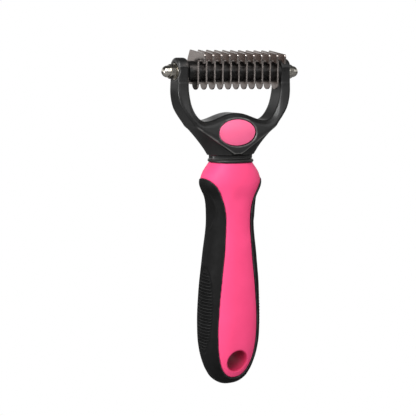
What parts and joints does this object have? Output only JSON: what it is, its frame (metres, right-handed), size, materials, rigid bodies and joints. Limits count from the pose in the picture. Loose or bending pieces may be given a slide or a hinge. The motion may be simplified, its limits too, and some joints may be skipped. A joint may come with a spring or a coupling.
{
  "type": "undercoat rake",
  "caption": "Undercoat rake for pets: two-material handle with a hanging hole, a forked yoke, and a pack of thin hooked blades on a through rod held by cap nuts.",
  "frame": {"origin": "centre of the hanging hole, on the handle's middle planes, near the handle's lower end", "axes": "+Z along the handle towards the head, -Y to the front, where the blades' hooks point, X along the rod"},
  "size_m": [0.0888, 0.0286, 0.193],
  "materials": {
    "pink_plastic": "moulded, semi-gloss pink",
    "black_rubber": "soft matt thermoplastic rubber, finely ribbed at the sides",
    "black_plastic": "fine moulded texture, satin",
    "spacer_plastic": "smooth satin black",
    "blade_steel": "stainless sheet, fine ground faces, bright rims",
    "bright_nickel": "nickel plated, polished",
    "plain_steel": "plain turned steel"
  },
  "bodies": {
    "handle": {"badge_back": "pink_plastic", "badge_front": "pink_plastic", "grip_overmould": "black_rubber", "handle_core": "pink_plastic", "neck_collar": "black_plastic", "tang_pin": "plain_steel", "through_rod": "plain_steel", "washer_left": "bright_nickel", "washer_right": "bright_nickel", "yoke_frame": "black_plastic"},
    "blade_pack": {"blade_01": "blade_steel", "blade_02": "blade_steel", "blade_03": "blade_steel", "blade_04": "blade_steel", "blade_05": "blade_steel", "blade_06": "blade_steel", "blade_07": "blade_steel", "blade_08": "blade_steel", "blade_09": "blade_steel", "blade_10": "blade_steel", "blade_11": "blade_steel", "end_spacer_left": "spacer_plastic", "end_spacer_right": "spacer_plastic", "spacer_01": "spacer_plastic", "spacer_02": "spacer_plastic", "spacer_03": "spacer_plastic", "spacer_04": "spacer_plastic", "spacer_05": "spacer_plastic", "spacer_06": "spacer_plastic", "spacer_07": "spacer_plastic", "spacer_08": "spacer_plastic", "spacer_09": "spacer_plastic", "spacer_10": "spacer_plastic"},
    "nut_left": {"acorn_nut_left": "bright_nickel"},
    "nut_right": {"acorn_nut_right": "bright_nickel"}
  },
  "joints": [
    {"name": "blade_pack_turn", "type": "hinge", "parent": "handle", "child": "blade_pack", "pos_m": [0, 0, 0.1654], "axis": [1, 0, 0], "continuous": true},
    {"name": "nut_left_turn", "type": "hinge", "parent": "handle", "child": "nut_left", "pos_m": [-0.037, 0, 0.1654], "axis": [-1, 0, 0], "continuous": true},
    {"name": "nut_right_turn", "type": "hinge", "parent": "handle", "child": "nut_right", "pos_m": [0.037, 0, 0.1654], "axis": [1, 0, 0], "continuous": true}
  ]
}
